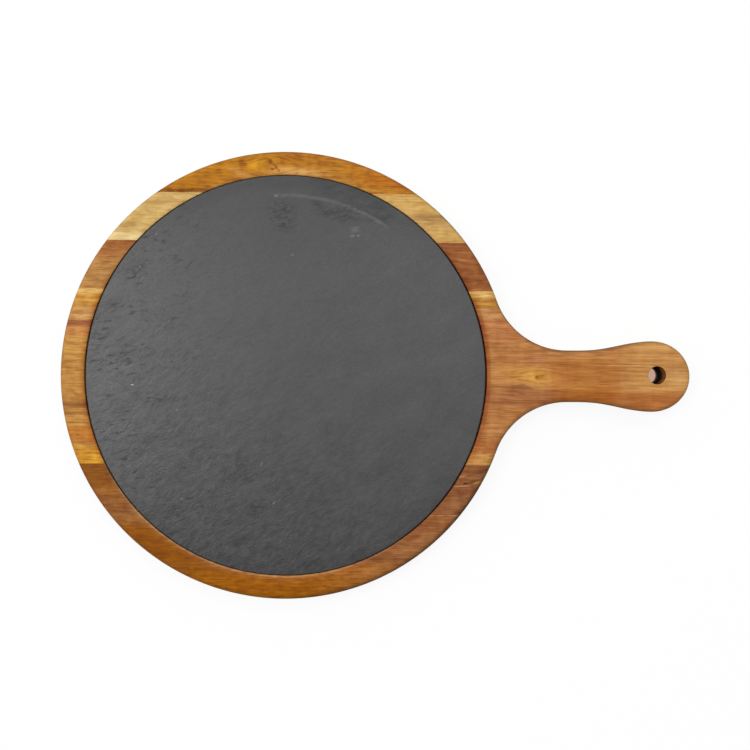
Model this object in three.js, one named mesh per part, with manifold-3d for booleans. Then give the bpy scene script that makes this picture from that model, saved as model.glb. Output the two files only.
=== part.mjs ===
// Round serving board: a glued-up acacia panel with a paddle handle, and a slate disc lying in its recess.
// Millimetres, +Z up. The origin is on the underside, at the centre of the round part, and the handle
// points along +X. The staves run along the handle.
import * as THREE from 'three';
import { mergeVertices } from 'three/addons/utils/BufferGeometryUtils.js';
import Module from 'manifold-3d';

// Slate insert
const SLATE_DIAMETER = 266.5;
const SLATE_THICKNESS = 5.5;
const SLATE_ARRIS = 0.5;       // chamfer on its two edges
const SLATE_CLEARANCE = 1;     // open gap between the slate and the wall of the recess
const SLATE_SETBACK = 0.5;     // how far its face lies below the top of the rim

// Round part of the board
const RIM_WIDTH = 15.75;       // wood outside the recess
const FLOOR_THICKNESS = 12;    // wood under the slate
const EDGE_ROUND = 3;          // rounding of the outer edges, top and bottom
const LIP_ROUND = 1.2;         // rounding of the edge of the recess

// Handle, measured outwards from the edge of the round part
const HANDLE_LENGTH = 120;
const NECK_REACH = 44.5;       // to the narrowest place
const NECK_WIDTH = 34.7;
const SHOULDER_RADIUS = 50;    // hollow curve between the round part and the neck
const GRIP_WIDTH = 47.4;
const GRIP_CROWN = 25;         // from the widest place of the grip to its end
const NECK_LEAD = 25;          // how long the flare stays straight as it leaves the neck
const GRIP_LEAD = 17;          // how long it is straight where it meets the grip

// Hanging hole
const HOLE_DIAMETER = 12;
const HOLE_FROM_END = 22;
const HOLE_EASE = 0.8;         // rounding of its two rims

// Glue-up
const PLANK_WIDTH = 117;       // middle plank, which carries the handle
const PLANK_OFFSET = -1.5;     // middle of the plank from the middle of the board
const STAVE_WIDTH = 32;
const STAVE_SKEW = -0.45;      // degrees by which the glue lines are out of line with the handle
const GLUE_LINE = 0.2;         // gap between neighbouring staves

// Facets
const RIM_FACETS = 128;
const SHOULDER_FACETS = 10;
const FLARE_FACETS = 9;
const CROWN_FACETS = 10;
const HOLE_FACETS = 32;
const ROUND_FACETS = 3;
const OVERCUT = 5;             // how far a cutter stands out past the surface that it cuts
const WELD = 0.001;            // points nearer than this are one point

// Finish, with the colours of the wood given from the plank outwards
const PLANK_COLOUR = 0xc08a4e;
const UPPER_COLOURS = [0x9c6034, 0xd6b06c, 0xb87f3c];
const LOWER_COLOURS = [0x86562f, 0xa8682a, 0xa2622a];
const SLATE_COLOUR = 0x5b5b5c;
const WOOD_ROUGHNESS = 0.5;
const SLATE_ROUGHNESS = 0.65;

// Sizes that follow
const slateRadius = SLATE_DIAMETER / 2;
const recessRadius = slateRadius + SLATE_CLEARANCE;
const discRadius = recessRadius + RIM_WIDTH;
const thickness = FLOOR_THICKNESS + SLATE_THICKNESS + SLATE_SETBACK;
const neckX = discRadius + NECK_REACH;
const neckHalf = NECK_WIDTH / 2;
const endX = discRadius + HANDLE_LENGTH;
const gripX = endX - GRIP_CROWN;
const gripHalf = GRIP_WIDTH / 2;
const quarterTurn = Math.PI / 2;

const wasm = await Module();
wasm.setup();

// Closed solid from a geometry, with its shared points welded and its flat slivers left out.
function solidOf(geometry) {
  geometry.deleteAttribute('normal');
  geometry.deleteAttribute('uv');
  const welded = mergeVertices(geometry, WELD);
  const corners = welded.index.array;
  const triangles = [];
  for (let i = 0; i < corners.length; i += 3) {
    const [a, b, c] = corners.slice(i, i + 3);
    if (a !== b && b !== c && c !== a) {
      triangles.push(a, b, c);
    }
  }
  return new wasm.Manifold(new wasm.Mesh({
    numProp: 3,
    vertProperties: new Float32Array(welded.attributes.position.array),
    triVerts: new Uint32Array(triangles),
  }));
}

function meshOf(name, solid, colour, roughness) {
  const { vertProperties, triVerts } = solid.getMesh();
  const geometry = new THREE.BufferGeometry();
  geometry.setAttribute('position', new THREE.BufferAttribute(vertProperties, 3));
  geometry.setIndex(new THREE.BufferAttribute(triVerts, 1));
  geometry.computeVertexNormals();
  const material = new THREE.MeshStandardMaterial({ color: colour, roughness, metalness: 0 });
  const mesh = new THREE.Mesh(geometry, material);
  mesh.name = name;
  return mesh;
}

// Solid turned about an upright axis at this X, from a profile of [radius, height] points that starts at the
// lower end of the axis and goes round to the upper end.
function turned(profile, facets, axisX = 0) {
  const points = profile.map(([radius, height]) => new THREE.Vector2(radius, height));
  const geometry = new THREE.LatheGeometry(points, facets);
  geometry.rotateX(quarterTurn);
  geometry.translate(axisX, 0, 0);
  return solidOf(geometry);
}

// Rounded rim where a turned cut of this radius comes out through a face: profile points from the wall to
// the face. The side is 1 for a face above the cut and -1 for one below it.
function easedRim(radius, faceHeight, ease, side) {
  const points = [];
  for (let i = 0; i <= ROUND_FACETS; i += 1) {
    const angle = (i / ROUND_FACETS) * quarterTurn;
    const outwards = radius + ease * (1 - Math.cos(angle));
    const height = faceHeight - side * ease * (1 - Math.sin(angle));
    points.push([outwards, height]);
  }
  return points;
}

// Outline of the whole board, seen from above: one half from the tip of the handle to the far side of the
// round part, and its mirror image.
function boardOutline() {
  const largestShoulder = (neckX ** 2 - discRadius ** 2 + neckHalf ** 2) / (2 * (discRadius - neckHalf));
  const shoulder = Math.min(SHOULDER_RADIUS, largestShoulder);
  const shoulderY = neckHalf + shoulder;
  const shoulderX = Math.sqrt((discRadius + shoulder) ** 2 - shoulderY ** 2);
  const leaves = Math.atan2(shoulderY, shoulderX);
  const crown = new THREE.EllipseCurve(gripX, 0, GRIP_CROWN, gripHalf, 0, quarterTurn);
  const narrowest = new THREE.Vector2(neckX, neckHalf);
  const flare = new THREE.CubicBezierCurve(
    new THREE.Vector2(gripX, gripHalf),
    new THREE.Vector2(gripX - GRIP_LEAD, gripHalf),
    new THREE.Vector2(neckX + NECK_LEAD, neckHalf),
    narrowest,
  );
  const neck = new THREE.LineCurve(narrowest, new THREE.Vector2(shoulderX, neckHalf));
  const hollow = new THREE.EllipseCurve(
    shoulderX, shoulderY, shoulder, shoulder, -quarterTurn, leaves - Math.PI, true,
  );
  const round = new THREE.EllipseCurve(0, 0, discRadius, discRadius, leaves, Math.PI);
  const stretches = [
    [crown, CROWN_FACETS],
    [flare, FLARE_FACETS],
    [neck, 1],
    [hollow, SHOULDER_FACETS],
    [round, RIM_FACETS / 2],
  ];
  const half = stretches.flatMap(([curve, facets]) => curve.getPoints(facets).slice(0, -1));
  const mirrored = half.slice(1).reverse().map((point) => new THREE.Vector2(point.x, -point.y));
  const all = [...half, new THREE.Vector2(-discRadius, 0), ...mirrored];
  return new THREE.Shape(all.filter((point, i) => point.distanceTo(all.at(i - 1)) > WELD));
}

// The panel before it is parted into staves, with its recess and its hanging hole.
function panel() {
  const slab = new THREE.ExtrudeGeometry(boardOutline(), {
    depth: thickness - 2 * EDGE_ROUND,
    bevelThickness: EDGE_ROUND,
    bevelSize: EDGE_ROUND,
    bevelOffset: -EDGE_ROUND,
    bevelSegments: ROUND_FACETS,
  });
  slab.translate(0, 0, EDGE_ROUND);
  const recess = turned([
    [0, FLOOR_THICKNESS],
    [recessRadius, FLOOR_THICKNESS],
    ...easedRim(recessRadius, thickness, LIP_ROUND, 1),
    [recessRadius + LIP_ROUND, thickness + OVERCUT],
    [0, thickness + OVERCUT],
  ], RIM_FACETS);
  const holeRadius = HOLE_DIAMETER / 2;
  const hole = turned([
    [0, -OVERCUT],
    [holeRadius + HOLE_EASE, -OVERCUT],
    ...easedRim(holeRadius, 0, HOLE_EASE, -1).reverse(),
    ...easedRim(holeRadius, thickness, HOLE_EASE, 1),
    [holeRadius + HOLE_EASE, thickness + OVERCUT],
    [0, thickness + OVERCUT],
  ], HOLE_FACETS, endX - HOLE_FROM_END);
  return solidOf(slab).subtract(recess).subtract(hole);
}

// The part of the panel between two glue lines, given by their distances from the middle of the board.
function between(wood, lower, upper) {
  const length = 2 * (endX + OVERCUT);
  const band = new THREE.BoxGeometry(length, upper - lower - GLUE_LINE, thickness + 2 * OVERCUT);
  band.translate(0, (lower + upper) / 2, thickness / 2);
  band.rotateZ(THREE.MathUtils.degToRad(STAVE_SKEW));
  return wood.intersect(solidOf(band));
}

// Staves on one side of the plank, counted outwards from its edge. The last one takes what is left.
function sideStaves(wood, name, plankEdge, side, colours) {
  const count = Math.max(1, Math.round((discRadius - Math.abs(plankEdge)) / STAVE_WIDTH));
  const staves = [];
  for (let i = 0; i < count; i += 1) {
    const inner = plankEdge + side * i * STAVE_WIDTH;
    const outer = i < count - 1 ? inner + side * STAVE_WIDTH : side * (discRadius + STAVE_WIDTH);
    const solid = between(wood, Math.min(inner, outer), Math.max(inner, outer));
    staves.push(meshOf(`${name}_${i + 1}`, solid, colours[i % colours.length], WOOD_ROUGHNESS));
  }
  return staves;
}

function woodenBoard() {
  const wood = panel();
  const plankUpper = PLANK_OFFSET + PLANK_WIDTH / 2;
  const plankLower = PLANK_OFFSET - PLANK_WIDTH / 2;
  const board = new THREE.Group();
  board.add(meshOf('handle_plank', between(wood, plankLower, plankUpper), PLANK_COLOUR, WOOD_ROUGHNESS));
  board.add(...sideStaves(wood, 'upper_stave', plankUpper, 1, UPPER_COLOURS));
  board.add(...sideStaves(wood, 'lower_stave', plankLower, -1, LOWER_COLOURS));
  return board;
}

function slateInsert() {
  const disc = turned([
    [0, 0],
    [slateRadius - SLATE_ARRIS, 0],
    [slateRadius, SLATE_ARRIS],
    [slateRadius, SLATE_THICKNESS - SLATE_ARRIS],
    [slateRadius - SLATE_ARRIS, SLATE_THICKNESS],
    [0, SLATE_THICKNESS],
  ], RIM_FACETS);
  const slate = meshOf('slate_insert', disc, SLATE_COLOUR, SLATE_ROUGHNESS);
  slate.position.z = FLOOR_THICKNESS;
  return slate;
}

const servingBoard = new THREE.Group();
servingBoard.add(woodenBoard());
servingBoard.add(slateInsert());

export default servingBoard;
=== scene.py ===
"""Looks of a round serving board: seven glued acacia staves, a paddle handle and a slate insert.

Laid out as an add-on and run as a script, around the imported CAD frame. Lengths are in metres, +Z is up, the
handle points along +X and the origin lies on the underside, at the centre of the round part.
"""

import math
from collections import namedtuple

import bmesh
import bpy
from bpy.props import FloatProperty, FloatVectorProperty, PointerProperty
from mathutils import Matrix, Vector, geometry


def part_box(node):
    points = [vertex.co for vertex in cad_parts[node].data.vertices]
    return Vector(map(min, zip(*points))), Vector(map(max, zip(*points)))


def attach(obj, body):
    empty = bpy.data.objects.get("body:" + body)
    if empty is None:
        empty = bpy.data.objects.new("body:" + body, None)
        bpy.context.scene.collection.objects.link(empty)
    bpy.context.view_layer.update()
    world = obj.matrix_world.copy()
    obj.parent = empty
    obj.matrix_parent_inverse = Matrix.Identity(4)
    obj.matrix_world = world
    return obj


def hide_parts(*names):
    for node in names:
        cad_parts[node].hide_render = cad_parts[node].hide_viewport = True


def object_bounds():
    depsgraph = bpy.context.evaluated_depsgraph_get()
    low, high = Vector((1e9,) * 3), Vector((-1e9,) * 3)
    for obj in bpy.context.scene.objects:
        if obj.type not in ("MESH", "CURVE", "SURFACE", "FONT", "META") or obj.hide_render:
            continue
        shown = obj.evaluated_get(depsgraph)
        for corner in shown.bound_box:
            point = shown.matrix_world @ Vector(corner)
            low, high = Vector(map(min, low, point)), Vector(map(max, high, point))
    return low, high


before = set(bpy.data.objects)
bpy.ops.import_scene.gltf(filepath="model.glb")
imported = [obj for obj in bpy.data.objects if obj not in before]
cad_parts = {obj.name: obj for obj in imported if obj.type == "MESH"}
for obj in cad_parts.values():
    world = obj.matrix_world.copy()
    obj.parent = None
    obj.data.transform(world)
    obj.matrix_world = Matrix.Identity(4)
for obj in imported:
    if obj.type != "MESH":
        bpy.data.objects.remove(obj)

bl_info = {
    "name": "Serving Board",
    "version": (1, 0, 0),
    "blender": (4, 5, 0),
    "location": "3D View > Sidebar > Board",
    "description": "Dresses a round acacia serving board with a slate insert",
    "category": "Add Mesh",
}

MM = 0.001
QUARTER = math.pi / 2

# Places that the frame gives
CAD_LOW, CAD_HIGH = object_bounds()
SLATE_LOW, SLATE_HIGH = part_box("slate_insert")
DISC_RADIUS = -CAD_LOW.x
END_X = CAD_HIGH.x
TOP_Z = CAD_HIGH.z
FLOOR_Z = SLATE_LOW.z
SLATE_RADIUS = SLATE_HIGH.x

# Steps of the curved stretches
ROUND_STEPS = 160
SHOULDER_STEPS = 24
FLARE_STEPS = 24
CROWN_STEPS = 20
RECESS_STEPS = 320
HOLE_STEPS = 64
EDGE_STEPS = 8
LIP_STEPS = 8
SLATE_STEPS = 480
SLATE_RINGS = 140
OVERCUT = 5 * MM
SAME_PLACE = 0.01 * MM


def size(name, description, millimetres):
    """A length that a user can change."""
    length = millimetres * MM
    return FloatProperty(name=name, description=description, default=length, unit="LENGTH", precision=5)


def slant(name, description, degrees):
    """An angle that a user can change."""
    return FloatProperty(name=name, description=description, default=math.radians(degrees), subtype="ANGLE")


def amount(name, description, value):
    """A share or a level that a user can change."""
    return FloatProperty(name=name, description=description, default=value, min=0)


def linear(code):
    """Linear red, green and blue of a colour that is written as on a screen, in six digits."""
    shares = [int(code[place : place + 2], 16) / 255 for place in (0, 2, 4)]
    return tuple(share / 12.92 if share < 0.04045 else ((share + 0.055) / 1.055) ** 2.4 for share in shares)


def tone(name, description, code):
    """A colour that a user can change."""
    return FloatVectorProperty(
        name=name, description=description, default=linear(code), subtype="COLOR", size=3, min=0, max=1
    )


class BoardShape(bpy.types.PropertyGroup):
    """Sizes of the wooden board that its outline and its cuts are drawn from"""

    slate_gap: size("Slate gap", "How much wider than the slate the recess is routed, all round", 0.6)
    recess_shift: size("Recess shift", "How far the recess lies towards the handle", 0.5)
    cross_shrink: amount("Cross shrink", "Share by which the wood has shrunk across its grain", 0.0045)
    edge_round: size("Edge round", "Rounding of the outer edges", 4)
    lip_width: size("Lip width", "How far the softened edge of the recess reaches into the rim", 3)
    lip_drop: size("Lip drop", "How far the softened edge of the recess falls", 0.9)
    neck_reach: size("Neck reach", "From the round part to the narrowest place of the handle", 44.5)
    neck_width: size("Neck width", "Width of the handle at its narrowest place", 34.7)
    shoulder_radius: size("Shoulder radius", "Hollow curve between the round part and the neck", 50)
    grip_width: size("Grip width", "Width of the handle at its widest place", 47.4)
    grip_crown: size("Grip crown", "From the widest place of the grip to its end", 25)
    neck_lead: size("Neck lead", "How long the flare stays straight as it leaves the neck", 25)
    grip_lead: size("Grip lead", "How long the flare is straight where it meets the grip", 17)
    hole_diameter: size("Hole diameter", "Width of the hanging hole", 11.7)
    hole_from_end: size("Hole from end", "Middle of the hanging hole from the end of the handle", 22.6)
    hole_drift: size("Hole drift", "How far the hanging hole was drilled off the middle line", 0.85)
    hole_ease: size("Hole ease", "Rounding of the rims of the hanging hole", 0.6)
    plank_width: size("Plank width", "Width of the middle plank, which carries the handle", 117)
    plank_offset: size("Plank offset", "Middle of the plank from the middle of the board", -1.5)
    plank_planed: size("Plank planed", "How much was planed off the lower edge of the plank", 0.8)
    plank_taper: slant("Plank taper", "Lower edge of the plank from the line of the other glue lines", 0.235)
    stave_width: size("Stave width", "Width of a narrow stave", 32)
    glue_line: size("Glue line", "Gap between neighbouring staves", 0.02)
    stave_skew: slant("Stave skew", "How far the glue lines are out of line with the handle", -0.33)


class WoodTones(bpy.types.PropertyGroup):
    """Ground colours of the wood. Left is the far side of the slate, right is the side of the handle"""

    handle_plank_left: tone("Plank, left", "Tan heartwood of the middle plank", "c08941")
    handle_plank_right: tone("Plank, right", "The same plank at the shoulders", "ba7e46")
    upper_stave_1_left: tone("Upper stave 1, left", "Reddish heartwood", "b27e42")
    upper_stave_1_right: tone("Upper stave 1, right", "Reddish heartwood, darker", "985c2f")
    upper_stave_2_left: tone("Upper stave 2, left", "Pale sapwood", "d2ae68")
    upper_stave_2_right: tone("Upper stave 2, right", "Pale sapwood", "cea35b")
    upper_stave_3_left: tone("Upper stave 3, left", "Golden brown", "ae6e12")
    upper_stave_3_right: tone("Upper stave 3, right", "Golden brown", "b1731f")
    # Towards the handle the lower staves turn paler and greyer, which is partly a painted sheen
    lower_stave_1_left: tone("Lower stave 1, left", "Dark heartwood", "834a0f")
    lower_stave_1_right: tone("Lower stave 1, right", "Dark heartwood, greyer", "905b35")
    lower_stave_2_left: tone("Lower stave 2, left", "Amber brown", "8c4e00")
    lower_stave_2_right: tone("Lower stave 2, right", "Amber brown, paler", "9f683b")
    lower_stave_3_left: tone("Lower stave 3, left", "Amber brown", "9e5c02")
    lower_stave_3_right: tone("Lower stave 3, right", "Amber brown, paler", "a56931")


class SlateLooks(bpy.types.PropertyGroup):
    """Shape and colour of the slate"""

    arris: size("Arris", "Broken edge of the slate", 0.5)
    trim: size("Trim", "How much smaller than its full size the slate is cut, all round", 0.25)
    shift: size("Shift", "How far the loose slate lies towards the handle", 0.4)
    drift: size("Drift", "How far the loose slate lies towards the far side", 0.05)
    cleft: size("Cleft", "Height of the riven relief", 0.3)
    ripple: size("Ripple", "Depth of the small flakes that have come off", 0.045)
    flake_angle: slant("Flake angle", "Direction of the riven flakes, from the line of the handle", 14)
    streak_angle: slant("Streak angle", "Direction of the fine streaks, from the line of the handle", 35)
    colour: tone("Slate", "Ground colour of the slate", "454546")


class StageSettings(bpy.types.PropertyGroup):
    """Camera and light"""

    camera_x: size("Camera X", "Place of the camera along the handle", 59.93)
    camera_y: size("Camera Y", "Place of the camera across the handle", 0.43)
    camera_height: size("Camera height", "Camera above the top of the board", 568)
    camera_roll: slant("Camera roll", "How far the camera is out of line with the handle", 0.2)
    lens: FloatProperty(name="Lens", description="Focal length of the camera", default=41.05, unit="CAMERA")
    floor_colour: tone("Floor", "Colour of the floor as the camera sees it", "fdfdfd")
    bounce_colour: tone("Floor bounce", "Colour of the floor as it lights the board", "a8a8a8")
    # The floor in the hole is painted light, tinted by the wood
    hole_floor: tone("Floor in the hole", "Floor that shows through the hanging hole", "cda490")
    bright_sky: amount("Bright sky", "Level of the sky on its bright side", 0.8)
    dim_sky: amount("Dim sky", "Level of the sky on its dim side", 0.22)
    horizon: amount("Horizon", "Level of the sky at the horizon", 0.2)
    under_sky: amount("Under sky", "Level of the sky below the floor", 0.7)
    key_power: FloatProperty(name="Key power", description="Soft lamp at the left", default=38, unit="POWER")
    top_power: FloatProperty(name="Top power", description="Soft lamp at the top", default=22, unit="POWER")


class BoardSettings(bpy.types.PropertyGroup):
    """All the settings of the serving board"""

    shape: PointerProperty(type=BoardShape)
    wood: PointerProperty(type=WoodTones)
    slate: PointerProperty(type=SlateLooks)
    stage: PointerProperty(type=StageSettings)


def settings():
    """The settings that the open scene holds."""
    return bpy.context.scene.serving_board


# Modelling moves


def start_point(name, place):
    """A new object at the origin whose mesh is one selected point, left in edit mode to draw from."""
    bpy.ops.object.select_all(action="DESELECT")
    bpy.ops.mesh.primitive_plane_add(size=MM)
    made = bpy.context.object
    made.name = name
    bpy.ops.object.mode_set(mode="EDIT")
    bpy.ops.mesh.select_all(action="SELECT")
    bpy.ops.mesh.merge(type="CENTER")
    bpy.ops.transform.translate(value=place)
    return made


def draw_to(start, *places):
    """Draws straight lines from the selected point, which lies at start, through these places."""
    for place in places:
        bpy.ops.mesh.extrude_vertices_move(TRANSFORM_OT_translate={"value": Vector(place) - Vector(start)})
        start = place


def draw_arc(steps, angle, centre, axis=(0, 0, 1)):
    """Draws an arc from the selected point. A positive angle turns by the right hand about the axis."""
    bpy.ops.mesh.spin(steps=steps, angle=-angle, center=centre, axis=axis)


def select(made, vertices=None, edges=None, faces=None):
    """Selects, in edit mode, the vertices, edges or faces for which a test holds, and nothing else."""
    mesh = bmesh.from_edit_mesh(made.data)
    bpy.ops.mesh.select_all(action="DESELECT")
    for kind, test in ((mesh.verts, vertices), (mesh.edges, edges), (mesh.faces, faces)):
        for item in kind:
            if test and test(item):
                item.select_set(True)
    bmesh.update_edit_mesh(made.data)


def turn_solid(made, steps):
    """Turns the profile that was drawn about the Z axis into a closed solid, and leaves edit mode."""
    bpy.ops.mesh.select_all(action="SELECT")
    bpy.ops.mesh.spin(steps=steps, angle=2 * math.pi, center=(0, 0, 0), axis=(0, 0, 1))
    bpy.ops.mesh.select_all(action="SELECT")
    bpy.ops.mesh.remove_doubles(threshold=SAME_PLACE)
    bpy.ops.mesh.normals_make_consistent(inside=False)
    bpy.ops.object.mode_set(mode="OBJECT")
    return made


def transform_all(rotation=0.0, scale=(1, 1, 1), shift=(0, 0, 0)):
    """Turns, scales and shifts the whole mesh of the active object about the origin."""
    bpy.ops.object.mode_set(mode="EDIT")
    bpy.ops.mesh.select_all(action="SELECT")
    bpy.ops.transform.rotate(value=rotation, orient_axis="Z", center_override=(0, 0, 0))
    bpy.ops.transform.resize(value=scale, center_override=(0, 0, 0))
    bpy.ops.transform.translate(value=shift)
    bpy.ops.object.mode_set(mode="OBJECT")


def apply_modifier(made, kind, **values):
    """Adds a modifier with these values and applies it."""
    bpy.context.view_layer.objects.active = made
    modifier = made.modifiers.new(kind.title(), kind)
    for key, value in values.items():
        setattr(modifier, key, value)
    bpy.ops.object.modifier_apply(modifier=modifier.name)


def cut_away(made, cutter):
    """Cuts a solid out of a piece and removes the cutter."""
    apply_modifier(made, "BOOLEAN", operation="DIFFERENCE", object=cutter, solver="EXACT")
    bpy.data.objects.remove(cutter)


def dress(piece, node, body, material, sharp_angle=math.radians(40)):
    """Smooths a finished piece, gives it its material and puts it in the place of a CAD node."""
    bpy.ops.object.select_all(action="DESELECT")
    piece.select_set(True)
    bpy.context.view_layer.objects.active = piece
    bpy.ops.object.shade_smooth_by_angle(angle=sharp_angle)
    piece.data.materials.clear()
    piece.data.materials.append(material)
    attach(piece, body)
    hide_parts(node)


# The wooden board


def board_blank(shape):
    """The board without its recess and hole: half an outline, mirrored, raised and rounded."""
    neck_half = shape.neck_width / 2
    grip_half = shape.grip_width / 2
    neck_x = DISC_RADIUS + shape.neck_reach
    grip_x = END_X - shape.grip_crown
    shoulder_y = neck_half + shape.shoulder_radius
    shoulder_x = math.sqrt((DISC_RADIUS + shape.shoulder_radius) ** 2 - shoulder_y**2)
    leaves = math.atan2(shoulder_y, shoulder_x)
    blank = start_point("board_blank", (END_X, 0, 0))
    draw_arc(CROWN_STEPS, QUARTER, (grip_x, 0, 0))
    bpy.ops.mesh.select_all(action="SELECT")
    bpy.ops.transform.resize(value=(1, grip_half / shape.grip_crown, 1), center_override=(grip_x, 0, 0))
    select(blank, vertices=lambda vertex: vertex.co.x < grip_x + SAME_PLACE)
    flare = geometry.interpolate_bezier(
        Vector((grip_x, grip_half, 0)),
        Vector((grip_x - shape.grip_lead, grip_half, 0)),
        Vector((neck_x + shape.neck_lead, neck_half, 0)),
        Vector((neck_x, neck_half, 0)),
        FLARE_STEPS + 1,
    )
    draw_to(*flare, (shoulder_x, neck_half, 0))
    draw_arc(SHOULDER_STEPS, leaves - QUARTER, (shoulder_x, shoulder_y, 0))
    draw_arc(ROUND_STEPS, math.pi - leaves, (0, 0, 0))
    bpy.ops.object.mode_set(mode="OBJECT")
    apply_modifier(blank, "MIRROR", use_axis=(False, True, False), merge_threshold=SAME_PLACE)
    bpy.ops.object.mode_set(mode="EDIT")
    bpy.ops.mesh.select_all(action="SELECT")
    bpy.ops.mesh.edge_face_add()
    bpy.ops.mesh.extrude_region_move(TRANSFORM_OT_translate={"value": (0, 0, TOP_Z)})
    bpy.ops.mesh.select_all(action="SELECT")
    bpy.ops.mesh.normals_make_consistent(inside=False)
    select(blank, edges=lambda edge: abs(edge.verts[0].co.z - edge.verts[1].co.z) < SAME_PLACE)
    bpy.ops.mesh.bevel(offset=shape.edge_round, segments=EDGE_STEPS, profile=0.5, affect="EDGES")
    bpy.ops.object.mode_set(mode="OBJECT")
    return blank


def recess_cutter(shape):
    """What is routed out for the slate, with the softened edge at its mouth."""
    radius = SLATE_RADIUS + shape.slate_gap
    lip_z = TOP_Z - shape.lip_drop
    above = TOP_Z + OVERCUT
    floor = (0, 0, FLOOR_Z)
    mouth = (radius + shape.lip_width, 0, TOP_Z)
    cutter = start_point("recess_cutter", floor)
    draw_to(floor, (radius, 0, FLOOR_Z), (radius, 0, lip_z))
    draw_arc(LIP_STEPS, QUARTER, (radius + shape.lip_drop, 0, lip_z), axis=(0, 1, 0))
    select(cutter, vertices=lambda vertex: vertex.co.z > lip_z - SAME_PLACE)
    bpy.ops.transform.resize(value=(shape.lip_width / shape.lip_drop, 1, 1), center_override=(radius, 0, 0))
    select(cutter, vertices=lambda vertex: vertex.co.z > TOP_Z - SAME_PLACE)
    draw_to(mouth, (mouth[0], 0, above), (0, 0, above))
    turn_solid(cutter, RECESS_STEPS)
    transform_all(shift=(shape.recess_shift, 0, 0))
    return cutter


def hole_cutter(shape):
    """What is drilled out for the hanging hole, with its two eased rims."""
    radius = shape.hole_diameter / 2
    ease = shape.hole_ease
    below = (0, 0, -OVERCUT)
    above = TOP_Z + OVERCUT
    cutter = start_point("hole_cutter", below)
    draw_to(below, (radius + ease, 0, -OVERCUT), (radius + ease, 0, 0))
    draw_arc(LIP_STEPS, QUARTER, (radius + ease, 0, ease), axis=(0, 1, 0))
    draw_to((radius, 0, ease), (radius, 0, TOP_Z - ease))
    draw_arc(LIP_STEPS, QUARTER, (radius + ease, 0, TOP_Z - ease), axis=(0, 1, 0))
    draw_to((radius + ease, 0, TOP_Z), (radius + ease, 0, above), (0, 0, above))
    turn_solid(cutter, HOLE_STEPS)
    transform_all(shift=(END_X - shape.hole_from_end, shape.hole_drift, 0))
    return cutter


def finished_panel(shape):
    """The whole board in one piece, which is then parted into staves."""
    panel = board_blank(shape)
    cut_away(panel, recess_cutter(shape))
    cut_away(panel, hole_cutter(shape))
    transform_all(scale=(1, 1 - shape.cross_shrink, 1))
    return panel


def part_stave(panel, name, shape, lower, upper):
    """A copy of the panel between two glue lines."""
    bpy.ops.object.select_all(action="DESELECT")
    panel.select_set(True)
    bpy.context.view_layer.objects.active = panel
    bpy.ops.object.duplicate()
    stave = bpy.context.object
    stave.name = name
    bpy.ops.object.mode_set(mode="EDIT")
    for line, side in ((lower, -1), (upper, 1)):
        across = Vector((-math.sin(line.skew), math.cos(line.skew), 0))
        place = across * (line.distance - side * shape.glue_line / 2)
        bpy.ops.mesh.select_all(action="SELECT")
        bpy.ops.mesh.bisect(
            plane_co=place, plane_no=across * side, use_fill=True, clear_outer=True, threshold=0
        )
    bpy.ops.object.mode_set(mode="OBJECT")
    return stave


# A glue line lies at a distance from the middle of the board and is out of line with the handle by its skew.
GlueLine = namedtuple("GlueLine", "distance skew")


def glue_lines(shape):
    """Node names of the staves, each with the two glue lines that it lies between."""
    plank_upper = shape.plank_offset + shape.plank_width / 2
    plank_lower = shape.plank_offset - shape.plank_width / 2
    width = shape.stave_width
    skew = shape.stave_skew
    upper = [GlueLine(plank_upper + count * width, skew) for count in range(3)]
    lower = [GlueLine(plank_lower - count * width, skew) for count in range(3)]
    lower[0] = GlueLine(plank_lower + shape.plank_planed, skew + shape.plank_taper)
    beyond = DISC_RADIUS + width
    return {
        "handle_plank": (lower[0], upper[0]),
        "upper_stave_1": (upper[0], upper[1]),
        "upper_stave_2": (upper[1], upper[2]),
        "upper_stave_3": (upper[2], GlueLine(beyond, skew)),
        "lower_stave_1": (lower[1], lower[0]),
        "lower_stave_2": (lower[2], lower[1]),
        "lower_stave_3": (GlueLine(-beyond, skew), lower[2]),
    }


# Finishes


def combine(operation, swapped=False):
    """An operator of a field, which adds a Math node."""

    def join(self, other):
        values = (other, self) if swapped else (self, other)
        return self.finish.math(operation, *values)

    return join


class Field:
    """Something that varies over a surface. A sum of fields and numbers adds Math nodes."""

    def __init__(self, finish, socket):
        self.finish = finish
        self.socket = socket

    __add__ = __radd__ = combine("ADD")
    __sub__ = combine("SUBTRACT")
    __rsub__ = combine("SUBTRACT", swapped=True)
    __mul__ = __rmul__ = combine("MULTIPLY")
    __truediv__ = combine("DIVIDE")
    __rtruediv__ = combine("DIVIDE", swapped=True)
    __pow__ = combine("POWER")

    def __neg__(self):
        return self * -1


def paint(colour):
    """A colour as a socket takes it, from a field, three shares or six digits."""
    if isinstance(colour, Field):
        return colour
    if isinstance(colour, str):
        colour = linear(colour)
    return (*colour, 1)


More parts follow.
